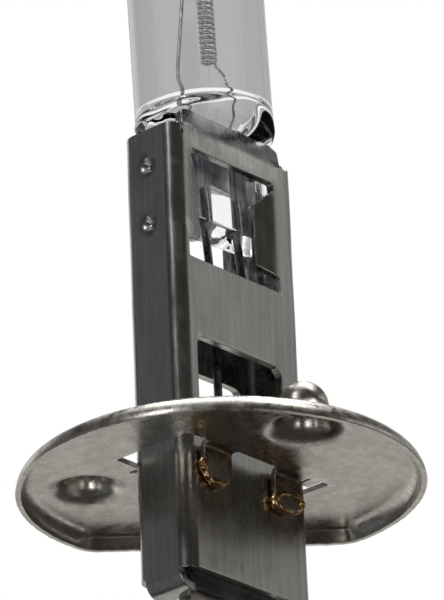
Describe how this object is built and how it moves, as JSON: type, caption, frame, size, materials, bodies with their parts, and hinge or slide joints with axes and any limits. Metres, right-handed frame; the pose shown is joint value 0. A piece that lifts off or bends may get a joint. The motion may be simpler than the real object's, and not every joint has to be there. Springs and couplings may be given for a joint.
{
  "type": "headlight bulb",
  "caption": "Single-filament halogen headlight bulb: quartz capsule in a folded steel clamp sleeve, round pressed flange with a flat, and one blade terminal.",
  "frame": {"origin": "the bulb's axis at the flange's flat glass-side face, which is the reference plane", "axes": "+Z along the bulb's axis towards the glass tip, +Y square to the flat on the flange's rim, +X along that flat"},
  "size_m": [0.021, 0.0185, 0.0595],
  "materials": {
    "plated_steel": "nickel-plated, drawn and slightly streaked",
    "flange_steel": "nickel-plated, satin",
    "quartz": "clear fused quartz",
    "tungsten": "drawn wire, satin",
    "molybdenum": "drawn wire",
    "moly_foil": "thin rolled foil",
    "weld_bead": "heat-tinted bronze",
    "insulator": "unglazed, dark grey",
    "tinned_blade": "tin-plated, satin"
  },
  "bodies": {
    "root": {"blade_terminal": "tinned_blade", "clamp_sleeve": "plated_steel", "filament_coil": "tungsten", "filament_joint_lower": "tungsten", "filament_joint_upper": "tungsten", "flange": "flange_steel", "flange_weld_1": "weld_bead", "flange_weld_2": "weld_bead", "flange_weld_3": "weld_bead", "flange_weld_4": "weld_bead", "ground_lead": "molybdenum", "ground_lead_weld": "weld_bead", "live_lead": "molybdenum", "live_lead_weld": "weld_bead", "lower_inner_lead": "molybdenum", "moly_foil_ground": "moly_foil", "moly_foil_live": "moly_foil", "quartz_envelope": "quartz", "return_lead": "molybdenum", "terminal_insulator": "insulator"}
  },
  "joints": []
}
